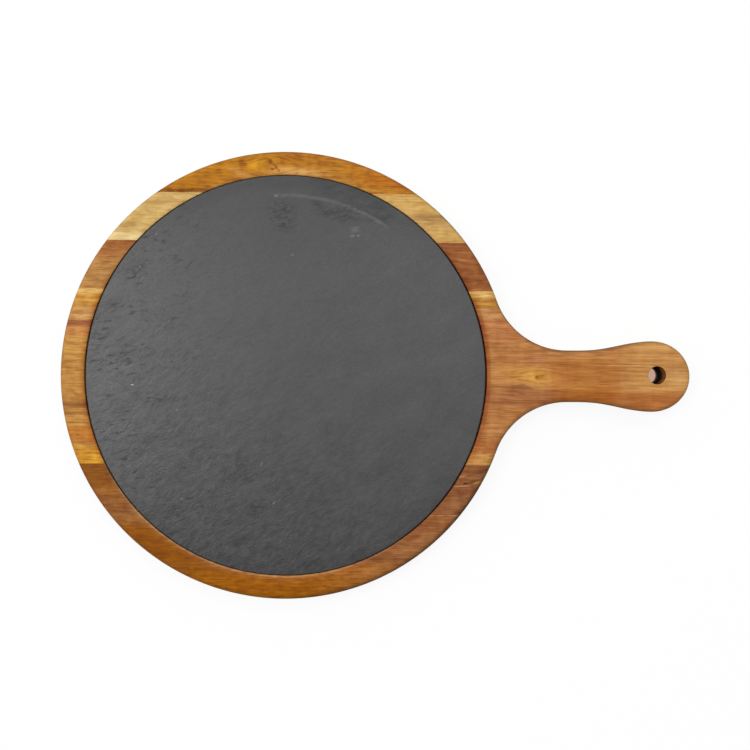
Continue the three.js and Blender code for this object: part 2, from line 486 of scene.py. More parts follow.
class Finish:
    """A material or a world under construction, with the few moves that the finishes here are made of."""

    def __init__(self, owner):
        self.owner = owner
        owner.use_nodes = True
        self.tree = owner.node_tree
        self.tree.nodes.clear()

    def node(self, kind, settings=None, inputs=None, output=0):
        """Adds a node with these settings and sockets, and gives one of its outputs."""
        made = self.tree.nodes.new(kind)
        for key, value in (settings or {}).items():
            setattr(made, key, value)
        for key, value in (inputs or {}).items():
            if isinstance(value, Field):
                self.tree.links.new(value.socket, made.inputs[key])
            else:
                made.inputs[key].default_value = value
        return Field(self, made.outputs[output])

    def math(self, operation, *values):
        return self.node("ShaderNodeMath", {"operation": operation}, dict(enumerate(values)))

    def parts(self, vector):
        """The three parts of a vector."""
        return [self.node("ShaderNodeSeparateXYZ", {}, {0: vector}, axis) for axis in "XYZ"]

    def place(self):
        """Object coordinates in millimetres."""
        return [part / MM for part in self.parts(self.node("ShaderNodeTexCoord", output="Object"))]

    def ray(self, kind):
        """What the Light Path says of the ray that meets the surface."""
        return self.node("ShaderNodeLightPath", output=kind)

    def rise(self, value, low, high):
        """Goes smoothly from 0 to 1 as the value goes from low to high."""
        return self.node(
            "ShaderNodeMapRange",
            {"interpolation_type": "SMOOTHSTEP"},
            {"Value": value, "From Min": low, "From Max": high},
        )

    def between(self, value, low, high, soft):
        """Is 1 between two values and fades to 0 outside them."""
        return self.rise(value, low - soft, low) * (1 - self.rise(value, high, high + soft))

    def noise(self, x, y, z, detail=2.0, roughness=0.5):
        """Cloudy noise about 0.5."""
        where = self.node("ShaderNodeCombineXYZ", {}, {0: x, 1: y, 2: z})
        inputs = {"Vector": where, "Scale": 1, "Detail": detail, "Roughness": roughness}
        return self.node("ShaderNodeTexNoise", {}, inputs)

    def blend(self, first, second, share, kind="MIX"):
        """Mixes two colours."""
        settings = {"data_type": "RGBA", "blend_type": kind}
        return self.node("ShaderNodeMix", settings, {0: share, 6: paint(first), 7: paint(second)}, 2)

    def grey(self, value):
        """A number as a colour, to darken or lighten another colour with."""
        return self.node("ShaderNodeCombineColor", {}, {0: value, 1: value, 2: value})

    def close(self, shader, kind="ShaderNodeOutputMaterial"):
        """Ends the tree in a shader."""
        end = self.tree.nodes.new(kind)
        self.tree.links.new(shader.socket, end.inputs["Surface"])
        return self.owner

    def coat(self, colour, roughness, gloss, height, depth):
        """Ends a material in its colour, its roughness, its gloss and a relief of this depth."""
        relief = {"Strength": RELIEF_STRENGTH, "Distance": depth, "Height": height}
        inputs = {
            "Base Color": colour,
            "Roughness": roughness,
            "Specular IOR Level": gloss,
            "Normal": self.node("ShaderNodeBump", {}, relief),
        }
        return self.close(self.node("ShaderNodeBsdfPrincipled", {}, inputs))


# A streak lies along the grain. Its middle, half width and soft edge are measured across the board, from the
# middle line, and its start and end along the handle, all in millimetres.
Streak = namedtuple("Streak", "colour middle half soft start end strength")

# A patch is an oval mark, with its place, its half length and half width and its tilt in degrees.
Patch = namedtuple("Patch", "colour x y half_length half_width tilt soft ragged strength")

# A knot pushes the lines of the grain apart.
Knot = namedtuple("Knot", "x y length width")

# The pith is the middle of the tree that the stave was sawn from, seen on the end of the stave.
# The ground colour turns from left to right between two places along the handle.
STAVE_PARTS = "seed pith_y pith_z sway figure growth dashes turn streaks patches scars knots"
Stave = namedtuple("Stave", STAVE_PARTS, defaults=((), (), ()))

# A streak that starts or ends here runs out of the stave.
FAR = 400

STAVES = {
    "handle_plank": Stave(
        seed=1.3, pith_y=-6, pith_z=-46, sway=4, figure=0.25, growth=1.1, dashes=0.26, turn=(-40, 110),
        streaks=(
            Streak("dca54a", 52, 4, 2, -FAR, -40, 0.85),
            Streak("f0cb84", 55.5, 0.6, 0.7, -FAR, -60, 0.85),
            Streak("c48a3a", 45.5, 2, 2, -FAR, -60, 0.7),
            Streak("d9a668", 39, 3, 2, -FAR, -60, 0.6),
            Streak("9a5836", 33.2, 1.5, 1.2, -FAR, -60, 0.85),
            Streak("c07a45", 28.5, 2, 2.5, -FAR, -60, 0.6),
            Streak("aa7338", -22, 3, 3, -FAR, -70, 0.7),
            Streak("8f5526", -20.3, 0.6, 0.8, -FAR, -90, 0.6),
            Streak("8f5526", -26.5, 0.6, 0.8, -FAR, -90, 0.6),
            Streak("b4691f", -40, 3, 4, -FAR, -50, 0.75),
            Streak("d79a2c", -56, 4.5, 7, -FAR, -30, 0.95),
            Streak("e6bb6c", 54, 3.3, 2, 60, FAR, 0.95),
            Streak("c08838", 48.8, 2, 1.5, 70, FAR, 0.85),
            Streak("a97224", 45.6, 0.9, 0.8, 90, FAR, 0.75),
            Streak("c48e55", 40.8, 3, 2.5, 70, FAR, 0.7),
            Streak("b87645", 31, 5, 4, 70, FAR, 0.8),
            Streak("bc7834", 0, 10, 3, 176, 222, 0.7),
            Streak("b2703a", 8, 1.8, 2.5, 142, 190, 0.5),
            Streak("a2643a", -12.6, 3.2, 5, 120, 188, 0.8),
            Streak("a96222", -15, 5, 4, 180, 224, 0.85),
            Streak("ca9452", 9, 16, 6, 226, FAR, 0.7),
            Streak("b56e34", -18, 6, 5, 220, FAR, 0.75),
            Streak("d8a86c", 7.9, 0.2, 0.5, 204, 246, 0.45),
            Streak("b06c38", -46.5, 3, 3, 80, FAR, 0.7),
            Streak("c9934e", -55.5, 4.5, 1.5, 90, FAR, 0.85),
        ),
        patches=(
            Patch("d19640", 160, 1.2, 13, 5, 0, 0.9, 2.4, 0.5),
            Patch("d9a044", 168, 1, 7, 5, 0, 0.9, 1.8, 0.55),
            Patch("98603a", 156, -7.5, 8, 4, 8, 0.9, 2.6, 0.6),
            Patch("ad6c48", 166, 11.5, 6, 2.6, 0, 0.8, 1.6, 0.6),
            Patch("a66a38", 153, 10.5, 4, 0.9, -6, 0.6, 1.0, 0.6),
            Patch("e2b474", 259, 3, 7, 5, 0, 0.9, 1.6, 0.6),
        ),
        scars=(
            Patch("a8691c", 169.3, 0.4, 3, 1.7, 8, 0.5, 0.9, 0.75),
            Patch("7a4610", 167.4, 0.1, 1.2, 0.9, 20, 0.5, 0.6, 0.7),
            Patch("82500f", 171.4, 1.4, 1.2, 0.5, 20, 0.5, 0.6, 0.5),
            Patch("85502c", 156, -7, 5.5, 1.6, 6, 0.9, 3.0, 0.65),
            Patch("7d4826", 157, -10.6, 2.6, 0.7, -6, 0.8, 2.4, 0.7),
            Patch("945a38", 166, -15.5, 5, 0.6, -6, 0.6, 1.0, 0.5),
            Patch("a8612c", 176.5, 9.4, 3.2, 0.8, -12, 0.5, 0.8, 0.6),
            Patch("8a5a20", 140.3, -34, 1.8, 0.45, 5, 0.6, 0.8, 0.7),
        ),
        knots=(Knot(169.3, 0.4, 13, 6),),
    ),
    "upper_stave_1": Stave(
        seed=4.1, pith_y=30, pith_z=-30, sway=8, figure=0.35, growth=0.8, dashes=0.26, turn=(-60, 60),
        streaks=(Streak("a2602c", 84.5, 4, 7, -FAR, 0, 0.8),),
        patches=(
            Patch("83481f", 121, 75.2, 8, 0.9, -10, 0.7, 1.4, 0.6),
            Patch("b5703f", 117, 77.6, 7, 0.9, -8, 0.7, 1.4, 0.5),
            Patch("7c421c", 129.5, 63.6, 5, 1.8, -25, 0.8, 1.6, 0.5),
            Patch("bd8a60", 113.5, 70.2, 3, 0.6, 10, 0.6, 1.2, 0.5),
            Patch("b87840", 127, 58, 3, 1, 0, 0.7, 1.0, 0.6),
        ),
    ),
    "upper_stave_2": Stave(
        seed=7.9, pith_y=60, pith_z=60, sway=7, figure=0.2, growth=0.4, dashes=0.1, turn=(-60, 60),
        streaks=(
            Streak("ecd396", 93, 2, 2, -FAR, -60, 0.6),
            Streak("a07644", 105.3, 1.4, 1.9, 84, FAR, 0.9),
            Streak("c19a5c", 101, 3, 3, 70, FAR, 0.5),
        ),
        patches=(
            Patch("ad8040", -84, 114.8, 12, 1.7, 3, 0.9, 2.0, 0.65),
            Patch("a67939", -103, 100, 6.5, 2.2, 4, 0.9, 2.2, 0.65),
            Patch("c0924a", -97, 106, 8, 0.7, 2, 0.8, 1.4, 0.55),
        ),
    ),
    "upper_stave_3": Stave(
        seed=11.6, pith_y=165, pith_z=-30, sway=6, figure=0.45, growth=1.0, dashes=0.36, turn=(-40, 60),
        streaks=(
            Streak("804a0c", 122.1, 0.6, 1.2, -FAR, -50, 0.85),
            Streak("9a5a14", 128, 1.5, 2.5, 58, FAR, 0.7),
        ),
        patches=(
            Patch("8f4f0c", -28, 139.8, 4.6, 2.1, 115, 0.7, 1.6, 0.85),
            Patch("d29a5e", -31, 134.5, 6, 1.8, -20, 0.9, 2.0, 0.3),
            Patch("d4951c", -19, 140, 7, 3.6, 10, 0.8, 1.6, 0.65),
            Patch("d09c58", 8, 135.5, 16, 2.4, -4, 0.9, 1.8, 0.6),
            Patch("b4640f", 62, 130.5, 18, 4.5, -14, 0.9, 1.8, 0.6),
            Patch("a85c10", 22, 145, 20, 2.4, -6, 0.9, 1.8, 0.25),
        ),
        scars=(
            Patch("9a5a10", -15.5, 143.3, 2.8, 0.8, 14, 0.8, 1.2, 0.75),
            Patch("9a5a10", -12, 143.4, 2, 0.9, -15, 0.8, 1.2, 0.75),
            Patch("7a4208", -10, 142, 1.4, 1.1, -60, 0.8, 1.2, 0.9),
            Patch("8a4d0c", -7.4, 139.6, 2, 0.8, -30, 0.8, 1.2, 0.75),
            Patch("7a4208", -6.4, 137.8, 1, 0.7, -60, 0.8, 1.0, 0.85),
            Patch("8a4d0c", -4.6, 136, 1.2, 0.7, -50, 0.8, 1.0, 0.75),
            Patch("6a3606", -8.6, 136.8, 1.3, 0.6, 5, 0.7, 0.8, 0.9),
        ),
        knots=(Knot(-9.1, 139.3, 14, 8),),
    ),
    "lower_stave_1": Stave(
        seed=15.2, pith_y=-100, pith_z=-40, sway=8, figure=0.5, growth=1.2, dashes=0.3, turn=(-60, 60),
        streaks=(
            Streak("a96a30", -77.5, 2, 4, -FAR, -60, 0.5),
            Streak("a8703c", -87, 3, 4, -FAR, -40, 0.6),
        ),
        patches=(
            Patch("6b3d20", 131, -62.6, 4, 1.6, 20, 0.8, 1.6, 0.6),
            Patch("c08a60", 118, -66, 3, 0.6, 20, 0.6, 1.2, 0.6),
            Patch("b5803c", 128.5, -70, 3, 1, 5, 0.7, 1.2, 0.6),
            Patch("6e4022", 126, -68.8, 5, 0.6, 8, 0.6, 1.2, 0.7),
        ),
        scars=(
            Patch("32190a", 120.4, -70.6, 1.7, 0.6, 15, 0.5, 0.8, 0.85),
            Patch("4a2812", 124.6, -70, 3.8, 0.4, 17, 0.6, 0.8, 0.75),
            Patch("c89468", 117.5, -72.4, 5, 0.5, 3, 0.6, 0.8, 0.6),
        ),
    ),
    "lower_stave_2": Stave(
        seed=19.8, pith_y=-80, pith_z=-55, sway=5, figure=0.3, growth=1.0, dashes=0.26, turn=(-60, 60),
        streaks=(
            Streak("9a6534", -94.5, 2, 6, -FAR, 0, 0.7),
            Streak("cc9866", -91.8, 0.35, 0.5, 76, FAR, 0.75),
            Streak("7d4a22", -122.3, 0.9, 1.2, 40, 112, 0.6),
        ),
    ),
    "lower_stave_3": Stave(
        seed=23.5, pith_y=-170, pith_z=-20, sway=5, figure=0.3, growth=0.9, dashes=0.32, turn=(10, 70),
        streaks=(Streak("8a5010", -126.5, 3, 3, -FAR, -20, 0.6),),
    ),
}

# Strength of the relief in all finishes, and its depth in wood and slate
RELIEF_STRENGTH = 0.6
WOOD_RELIEF = 0.06 * MM
SLATE_RELIEF = 0.14 * MM

# Gloss and roughness of oiled wood and of slate
WOOD_GLOSS = 0.12
WOOD_ROUGHNESS = 0.54
SLATE_GLOSS = 0.42
SLATE_ROUGHNESS = 0.44

# Along the handle, in millimetres: where the round part ends, where the grip begins, and the whole handle
ROUND_END = 140
GRIP_START = (180, 230)
HANDLE_RUN = (170, 240)

# Where the outer edge begins, in millimetres from the middle of the board
OUTER_EDGE = (140, 145)

# How far a streak fades out at its ends, in millimetres
STREAK_FADE = 8

# How the grain darkens and lightens a ground colour
GRAIN_DEEP = (0.66, 0.51, 0.4)
GRAIN_PALE = (1.28, 1.42, 1.56)

# What a dark pore or dash leaves of a ground colour
PORE = (0.42, 0.28, 0.18)

# The softened edge of the recess: a pale veil added on long grain, and what oily end grain and painted shade
# leave of a colour
LIP_VEIL = (0.048, 0.036, 0.022)
OIL_AND_SHADE = (0.76, 0.6, 0.46)
# A painted highlight, added on the near edge of the recess
LIP_HIGHLIGHT = (0.055, 0.06, 0.045)

# Painted shade on the wall of the hanging hole
HOLE_WALL_SHADE = "2c160a"


def turned(right, up, angle):
    """The same place along and across a direction that is turned by this angle."""
    along = right * math.cos(angle) + up * math.sin(angle)
    across = up * math.cos(angle) - right * math.sin(angle)
    return along, across


def distance(right, up):
    """How far a place lies from the middle."""
    return (right * right + up * up) ** 0.5


def from_hole(x, y, shape):
    """The same place as seen from the middle of the hanging hole, in millimetres."""
    return x - (END_X - shape.hole_from_end) / MM, y - shape.hole_drift / MM


def oval(finish, x, y, patch, ragged):
    """How far a place lies inside a patch, from 0 to 1."""
    along, across = turned(x - patch.x, y - patch.y, math.radians(patch.tilt))
    along = along / patch.half_length
    across = across / patch.half_width
    reach = distance(along, across) + ragged * patch.ragged
    return 1 - finish.rise(reach, 1 - patch.soft, 1 + patch.soft)


def lay_marks(finish, colour, marks, x, y, ragged, cover=1):
    """Lays oval marks over a colour."""
    for mark in marks:
        share = oval(finish, x, y, mark, ragged) * (cover * mark.strength)
        colour = finish.blend(colour, mark.colour, share)
    return colour


def grain_line(x, line, knots):
    """The line across the grain, pushed aside by the knots."""
    for knot in knots:
        ahead = (x - knot.x) / knot.length
        aside = line - knot.y
        near = 1 / (1 + (ahead * ahead + aside * aside / knot.width**2) ** 2)
        line = line - aside * near * 0.8
    return line


def acacia(name, left, right, shape, stave):
    """Oiled acacia that runs through the whole stave, so that its ends show end grain."""
    finish = Finish(bpy.data.materials.new(name))
    x, y, z = finish.place()
    seed = stave.seed
    across = y - x * math.tan(shape.stave_skew)
    sway = finish.noise(x / 90, across / 30, z / 40 + seed, 1.0) - 0.5
    ragged = finish.noise(x / 6, across / 1.5, z / 4 + seed * 7, 2.0) - 0.5
    line = grain_line(x, across + sway * stave.sway, stave.knots)
    ring = distance(line - stave.pith_y, z - stave.pith_z)
    # The lines of the grain are shorter on the round part than on the handle.
    run = x + finish.math("MINIMUM", x - ROUND_END, 0) * 0.7
    calm = 1 - finish.rise(x, *GRIP_START) * 0.4
    growth = finish.noise(x / 240, ring / 4, z / 60 + seed * 2, 4.0, 0.62)
    fine = finish.noise(run / 24, line / 0.9, z / 5 + seed * 3, 2.0)
    figure = finish.noise(x / 5, line / 16, z / 12 + seed * 4, 1.0)
    mottle = finish.noise(run / 10, line / 2.4, z / 6 + seed * 8, 2.0)
    dashes = finish.rise(finish.noise(run / 14, line / 0.75, z / 3 + seed * 5, 1.0), 0.58, 0.74)
    pores = finish.rise(finish.noise(x / 4.5, line / 0.2, z / 0.2 + seed * 6, 0.0), 0.62, 0.74)
    colour = finish.blend(left, right, finish.rise(x, *stave.turn))
    edge = line + ragged * 1.6
    for streak in stave.streaks:
        inside = finish.between(edge, streak.middle - streak.half, streak.middle + streak.half, streak.soft)
        if streak.start > -FAR:
            inside = inside * finish.rise(x, streak.start - STREAK_FADE, streak.start + STREAK_FADE)
        if streak.end < FAR:
            inside = inside * (1 - finish.rise(x, streak.end - STREAK_FADE, streak.end + STREAK_FADE))
        colour = finish.blend(colour, streak.colour, inside * streak.strength)
    swayed = across + sway * 2
    colour = lay_marks(finish, colour, stave.patches, x, swayed, ragged)
    colour = softened_lip(finish, colour, x, y, z, shape, ragged)
    lively = (fine - 0.5) * (0.45 + stave.dashes * 1.9)
    lively = lively + (mottle - 0.5) * calm * (0.35 + stave.dashes * 1.4)
    shade = 0.5 + (growth - 0.5) * stave.growth + (figure - 0.5) * stave.figure + lively
    grain = finish.blend(GRAIN_DEEP, GRAIN_PALE, finish.rise(shade, 0, 1))
    colour = finish.blend(colour, grain, 1.0, "MULTIPLY")
    dark = dashes * calm * stave.dashes * 1.2 + pores * 0.2
    colour = finish.blend(colour, PORE, dark, "MULTIPLY")
    colour = lay_marks(finish, colour, stave.scars, x, swayed, ragged)
    in_hole, wall_shade = shaded_hole(finish, x, y, z, shape)
    # Painted shade on the edges and sides of the stave
    shadow = edge_shadow(finish, x, y, in_hole)
    colour = finish.blend(colour, finish.grey(shadow), 1.0, "MULTIPLY")
    # Painted shade on the wall of the hanging hole
    colour = finish.blend(colour, OIL_AND_SHADE, in_hole, "MULTIPLY")
    colour = finish.blend(colour, HOLE_WALL_SHADE, wall_shade)
    roughness = WOOD_ROUGHNESS + dashes * 0.12 + (growth - 0.5) * 0.2 + in_hole * 0.4
    height = (fine - 0.5) * 0.4 - dashes * 0.5 - pores * 0.6
    return finish.coat(colour, roughness, WOOD_GLOSS, height, WOOD_RELIEF)


def softened_lip(finish, colour, x, y, z, shape, ragged):
    """Colours the softened edge of the recess: a pale veil on long grain, dark on end grain, painted shade at
    the handle and a painted highlight on its near edge.
    """
    lip = lip_band(finish, x, y, z, shape) * (0.9 + ragged * 0.8)
    ends = finish.rise(x * x / (x * x + y * y), 0.6, 0.9)
    # Beside the handle the edge is darkened with painted shade, as well as for its oily end grain
    shade_beside_handle = finish.math("MAXIMUM", finish.rise(x - y, 145, 185), finish.rise(x, 98, 112))
    ends = finish.math("MAXIMUM", ends, shade_beside_handle)
    colour = finish.blend(colour, LIP_VEIL, lip * (1 - ends), "ADD")
    colour = finish.blend(colour, OIL_AND_SHADE, lip * ends, "MULTIPLY")
    # A painted highlight on the near edge of the recess, and painted shade on its edge at the handle
    bright, lip_shade = painted_lip_light(finish, x, y, z, shape)
    colour = finish.blend(colour, LIP_HIGHLIGHT, bright, "ADD")
    return finish.blend(colour, OIL_AND_SHADE, lip_shade, "MULTIPLY")


def edge_shadow(finish, x, y, in_hole):
    """Painted shade on the edges and sides of a stave, with end grain a little darker in its own colour."""
    facing_x, facing_y, upright = finish.parts(finish.node("ShaderNodeNewGeometry", output="Normal"))
    end_grain = finish.rise(finish.math("ABSOLUTE", facing_x), 0.3, 1)
    sides = 1 - finish.rise(finish.math("ABSOLUTE", upright), 0.2, 0.8)
    far_side = finish.rise(facing_y, 0.2, 0.7) * finish.rise(upright, 0.1, 0.4)
    outer = finish.rise(distance(x, y), *OUTER_EDGE)
    on_handle = finish.between(x, *HANDLE_RUN, 20)
    far_edge_shade = far_side * (outer * 0.1 + on_handle * 0.2)
    shadow = 1 - end_grain * 0.15 - turned_edge(finish, x, y)
    return shadow - (sides * 0.4 + far_edge_shade) * (1 - in_hole)


def shaded_hole(finish, x, y, z, shape):
    """Where the hanging hole is, and how far its wall is darkened with painted shade: least high up at the
    end, where light falls on it.
    """
    ahead, aside = from_hole(x, y, shape)
    wall = shape.hole_diameter / 2 / MM
    inside = 1 - finish.rise(distance(ahead, aside), wall, wall + 0.3)
    lit_wall = finish.rise(z, 7, 14) * finish.rise(ahead, 1, wall * 0.8) * 0.65
    return inside, inside * (1 - lit_wall) * 0.97


def turned_edge(finish, x, y):
    """Shade on the rounded outer edge at the near side, which lies away from the light."""
    share = distance(x, y) / (DISC_RADIUS / MM)
    rim = finish.rise(share, 0.955, 1)
    line = finish.rise(share, 0.977, 0.997)
    near_side = finish.rise(x - y, 60, 190) * (1 - finish.rise(x, 120, 140))
    return (rim * 0.3 + line * 0.3) * near_side


def recess_wall(finish, x, y, z, shape):
    """Radius of the recess, how far a place lies from its middle, and where its wall and its edge are."""
    wall = (SLATE_RADIUS + shape.slate_gap) / MM
    floor = FLOOR_Z / MM
    radius = distance(x - shape.recess_shift / MM, y)
    beyond_floor = finish.rise(radius, wall - 1.5, wall - 0.8) * finish.rise(z, floor - 3, floor)
    return wall, radius, beyond_floor


def lip_band(finish, x, y, z, shape):
    """Is 1 at the wall of the recess, and fades over its softened edge."""
    wall, radius, beyond_floor = recess_wall(finish, x, y, z, shape)
    lip = shape.lip_width / MM
    wider = finish.rise(x - y, 120, 190) * lip
    steep = finish.rise(radius, wall, wall + 1.3) * 0.35
    gentle = finish.rise(radius, wall, wall + lip * 1.5 + wider) * 0.8
    return (1.15 - steep - gentle) * beyond_floor


def painted_lip_light(finish, x, y, z, shape):
    """A painted highlight, as a thin bright line on the near edge of the recess, and a band of painted shade
    on its edge at the handle.
    """
    wall, radius, beyond_floor = recess_wall(finish, x, y, z, shape)
    bright = (1 - finish.rise(radius, wall, wall + 0.9)) * finish.rise(-y - x * 0.3, 60, 120)
    at_handle = finish.rise(x - finish.math("ABSOLUTE", y) * 0.4, 95, 120)
    lip_shade = (1 - finish.rise(radius, wall + 1.6, wall + 3.4)) * at_handle * 0.8
    return bright * beyond_floor, lip_shade * beyond_floor


# Smudges on the slate, broken up into flecks
SMUDGE = "1c1c1d"
SLATE_SMUDGES = (
    Patch(SMUDGE, -2, 110, 8, 5, 10, 0.9, 0.8, 0.85),
    Patch(SMUDGE, -1, 101, 6.5, 5, 0, 0.9, 0.8, 0.85),
    Patch(SMUDGE, 21.3, 114, 4, 1.6, -15, 0.8, 1.4, 0.85),
    Patch(SMUDGE, 26.5, 109, 6.5, 2.8, -5, 0.8, 1.6, 0.85),
    Patch(SMUDGE, 40.5, 107, 9, 5, -12, 0.9, 1.6, 0.8),
    Patch(SMUDGE, 55.6, 104.5, 3, 2, -30, 0.9, 1.4, 0.4),
    Patch("2a2a2b", -2, 126, 8, 1.8, 0, 0.9, 2.0, 0.5),
    Patch(SMUDGE, 66, 106, 6, 3, -30, 0.9, 2.0, 0.5),
    Patch(SMUDGE, -84, -15.8, 9, 3, 5, 0.9, 2.0, 0.7),
    Patch(SMUDGE, -108, -24.5, 7, 2.4, 15, 0.9, 2.0, 0.7),
    Patch(SMUDGE, -92, -42, 5, 2.4, 20, 0.9, 2.0, 0.7),
    Patch(SMUDGE, -109, 13.5, 6, 2.4, 12, 0.9, 2.0, 0.7),
    Patch(SMUDGE, -123, 28, 6, 2.4, 10, 0.9, 2.0, 0.65),
    Patch(SMUDGE, -100, 70, 9, 4, 35, 0.9, 2.0, 0.65),
    Patch(SMUDGE, -115, 47, 8, 4, 25, 0.9, 2.0, 0.65),
    Patch(SMUDGE, -102, -52, 8, 3, 10, 0.9, 2.0, 0.45),
    Patch(SMUDGE, -78, -88, 9, 3, 15, 0.9, 2.0, 0.45),
    Patch(SMUDGE, -28, -60, 4, 5, 0, 0.9, 2.0, 0.6),
    Patch(SMUDGE, -28, -68, 9, 3, 5, 0.9, 2.0, 0.65),
    Patch(SMUDGE, -19, -90, 8, 5, 25, 0.9, 2.0, 0.65),
    Patch(SMUDGE, -27, -110, 6, 3, 20, 0.9, 2.0, 0.65),
    Patch(SMUDGE, 20, -112, 5, 2.5, 10, 0.9, 2.0, 0.4),
)

# Rubbed places and specks, which are paler than the slate
SLATE_SPECKS = (
    Patch("a0a0a0", 46.2, 97, 2.4, 1.8, 20, 0.9, 2.0, 0.14),
    Patch("b4b4b4", 44.6, 92.7, 1.5, 0.8, 10, 0.8, 2.0, 0.14),
    Patch("d0d0d0", 48.4, 93, 0.8, 0.35, 20, 0.7, 1.2, 0.2),
    Patch("a0a0a0", 4.7, 80.1, 1.0, 0.8, 0, 0.6, 0.6, 0.14),
    Patch("a8a8a8", -6.3, 119.4, 1.1, 0.8, 0, 0.6, 0.4, 0.22),
    Patch("f0f0f0", -101.4, -6.6, 0.9, 0.32, 0, 0.5, 0.3, 0.5),
    Patch("b0b0b0", -71.8, -23.2, 0.7, 0.5, 0, 0.5, 0.4, 0.22),
    Patch("b8a4a4", -85.8, 93.4, 1.1, 0.5, 40, 0.5, 0.4, 0.22),
    Patch("a8a8a8", -96.3, 71.6, 0.7, 0.5, 0, 0.5, 0.4, 0.22),
    Patch("c8c8c8", -15.4, -59, 1.6, 0.35, 75, 0.6, 0.8, 0.18),
    Patch("c8c8c8", -7.1, -84.9, 1.2, 0.35, 50, 0.6, 0.6, 0.22),
    Patch("c8c8c8", -68.4, -82, 0.7, 0.4, 0, 0.5, 0.4, 0.22),
)

# The worn arc: its distance from the middle in millimetres, its tone, and the bluish cast outside it
ARC_RADIUS = 119.8
ARC_TONE = "a0a0a0"
COLD = (0.97, 1.0, 1.035)


def riven_slate(name, looks):
    """Matt grey slate with riven flecks, faint smudges, a worn arc and a few pale specks."""
    finish = Finish(bpy.data.materials.new(name))
    x, y, z = finish.place()
    wave = finish.noise(x / 15, y / 15, z / 20 + 6.6, 2.0) - 0.5
    along, across = turned(x, y + wave * 9, looks.streak_angle)
    flake_along, flake_across = turned(x, y + wave * 6, looks.flake_angle)
    mottle = finish.noise(along / 30, across / 15, z / 9 + 2.2, 3.0)
    streaks = finish.noise(along / 3, across / 1.4, z / 2 + 5.1, 3.0, 0.65)
    dust = finish.noise(x / 0.7, y / 0.7, z / 0.7, 1.0)
    ragged = finish.noise(flake_along / 3, flake_across / 1.4, z / 3 + 7.7, 2.0) - 0.5
    grain = finish.noise(along / 6.5, across / 3, z / 4 + 3.3, 3.0, 0.6)
    broken = finish.rise(finish.noise(flake_along / 3.4, flake_across / 1.2, z / 3 + 9.4, 2.0), 0.37, 0.6)
    lower_left = finish.rise(-(x * 0.8 + y), -60, 130)
    bare = 0.12 + finish.rise(-x, 10, 125) * 0.85 + finish.rise(-y, 30, 125) * 0.35
    clusters = finish.rise(finish.noise(x / 22, y / 16, z / 20 + 4.0, 1.0), 0.4, 0.6)
    flecks = finish.rise(finish.noise(flake_along / 6, flake_across / 2.4, z / 4 + 1.7, 2.0), 0.5, 0.74)
    flecks = flecks * clusters * bare
    fold = finish.math("ABSOLUTE", finish.noise(along / 13, across / 5.5, z / 6 + 8.8, 2.0) - 0.5)
    ridges = (1 - finish.rise(fold, 0, 0.05)) * broken * lower_left
    clouded = finish.noise(x / 9, y / 3.2, z / 4 + 8.1, 2.0) - 0.5
    level = 1 + (mottle - 0.5) * 0.35 + (streaks - 0.5) * (0.4 + bare * 0.4) + (dust - 0.5) * 0.8
    level = level + ridges * 0.22 - flecks * 0.42
    # Painted sheen and shade: the slate is darker towards the bottom and the top, and lighter towards the
    # left and the right
    level = level * (1 - (1 - finish.rise(y, -140, 0)) * 0.22 - finish.rise(y, 50, 132) * 0.24)
    level = level * (1 + finish.rise(-x, 60, 135) * 0.2 + finish.rise(x, -20, 130) * 0.2)
    radius = distance(x, y)
    # Painted shade along the rim of the slate, most at the top and the bottom
    slate_rim_shade = 0.04 + finish.rise(finish.math("ABSOLUTE", y), 70, 125) * 0.17
    level = level * (1 - finish.rise(radius, 121, 130) * slate_rim_shade)
    upper = finish.rise(y, 88, 104)
    outside = finish.rise(radius, ARC_RADIUS, ARC_RADIUS + 1.5)
    margin = outside * finish.rise(x, 5, 30) * (1 - finish.rise(x, 62, 80)) * upper
    level = level * (1 - margin * (0.26 - clouded * 1.2)) + (grain - 0.5) * (0.3 + lower_left * 1.05)
    colour = finish.blend(looks.colour, finish.grey(level), 1.0, "MULTIPLY")
    colour = finish.blend(colour, COLD, margin, "MULTIPLY")
    arc = finish.between(radius, ARC_RADIUS - 0.4, ARC_RADIUS + 0.4, 1.3)
    arc = arc * finish.rise(x, -10, -2) * (1 - finish.rise(x, 62, 72))
    arc = arc * upper * finish.rise(ragged, -0.5, 0.3) * (0.8 + finish.rise(x, 20, 55) * 0.3)
    colour = finish.blend(colour, ARC_TONE, arc * 0.14)
    colour = lay_marks(finish, colour, SLATE_SMUDGES, x, y, ragged, broken)
    colour = lay_marks(finish, colour, SLATE_SPECKS, x, y, ragged)
    height = streaks * (0.5 + bare) + dust * 0.35 - flecks + grain * (0.4 + lower_left * 1.2) + ridges * 0.45
    roughness = SLATE_ROUGHNESS + (mottle - 0.5) * 0.2 + flecks * 0.2
    return finish.coat(colour, roughness, SLATE_GLOSS, height, SLATE_RELIEF)


# The slate

# Sizes of the waves in the riven face, the flakes and the chips, and how far the chips reach in and out
CLEFT_WAVE = 7 * MM
FLAKE_WAVE = 4.5 * MM
CHIP_WAVE = 9 * MM
CHIP_REACH = 0.4 * MM

# The relief is stretched along the flakes, and this share of it is left at the side of the handle
STRETCH = 2
CALM_SHARE = 0.25


def cloud(name, scale, depth):
    """Cloudy texture that shapes a relief."""
    texture = bpy.data.textures.new(name, "CLOUDS")
    texture.noise_scale = scale
    texture.noise_depth = depth
    texture.noise_basis = "IMPROVED_PERLIN"
    return texture


def group_where(made, name, weight):
    """A vertex group whose weights are worked out from each place."""
    group = made.vertex_groups.new(name=name)
    for vertex in made.data.vertices:
        share = weight(vertex.co)
        if share > 0:
            group.add([vertex.index], min(share, 1), "REPLACE")
    return group.name


def flaked(texture):
    """Turns a cloudy texture into a flat ground with sunken flakes."""
    texture.use_color_ramp = True
    stops = texture.color_ramp.elements
    stops[0].position = 0.5
    stops[0].color = (0.5, 0.5, 0.5, 1)
    stops[1].position = 0.85
    stops[1].color = (0, 0, 0, 1)
    return texture


